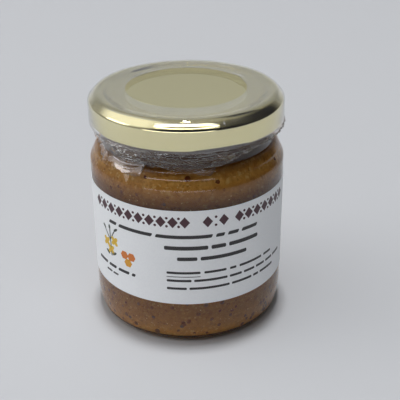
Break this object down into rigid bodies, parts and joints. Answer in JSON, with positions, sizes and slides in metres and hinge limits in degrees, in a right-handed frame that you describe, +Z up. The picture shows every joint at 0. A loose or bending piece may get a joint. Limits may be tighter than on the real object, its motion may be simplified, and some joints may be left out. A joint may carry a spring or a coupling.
{
  "type": "mustard jar",
  "caption": "Shut round glass jar of wholegrain mustard with a twist-off metal lid, a clear shrink band and a wrapped paper label.",
  "frame": {"origin": "middle of the jar's underside, on the surface it stands on", "axes": "+Z up along the jar's axis of turning, the middle of the label faces -Y"},
  "size_m": [0.067, 0.0666, 0.0808],
  "materials": {
    "clear_glass": "smooth clear soda-lime glass",
    "wholegrain_mustard": "wet brown mustard paste with whole and crushed seeds",
    "gold_lacquered_tinplate": "glossy pale gold lacquer over tinplate",
    "clear_shrink_film": "thin clear glossy film, shrunk tight and wrinkled at the neck",
    "white_label_paper": "smooth white coated paper with maroon and black print areas"
  },
  "bodies": {
    "root": {"glass_jar": "clear_glass", "mustard": "wholegrain_mustard", "lid": "gold_lacquered_tinplate", "shrink_band": "clear_shrink_film", "label": "white_label_paper"}
  },
  "joints": []
}
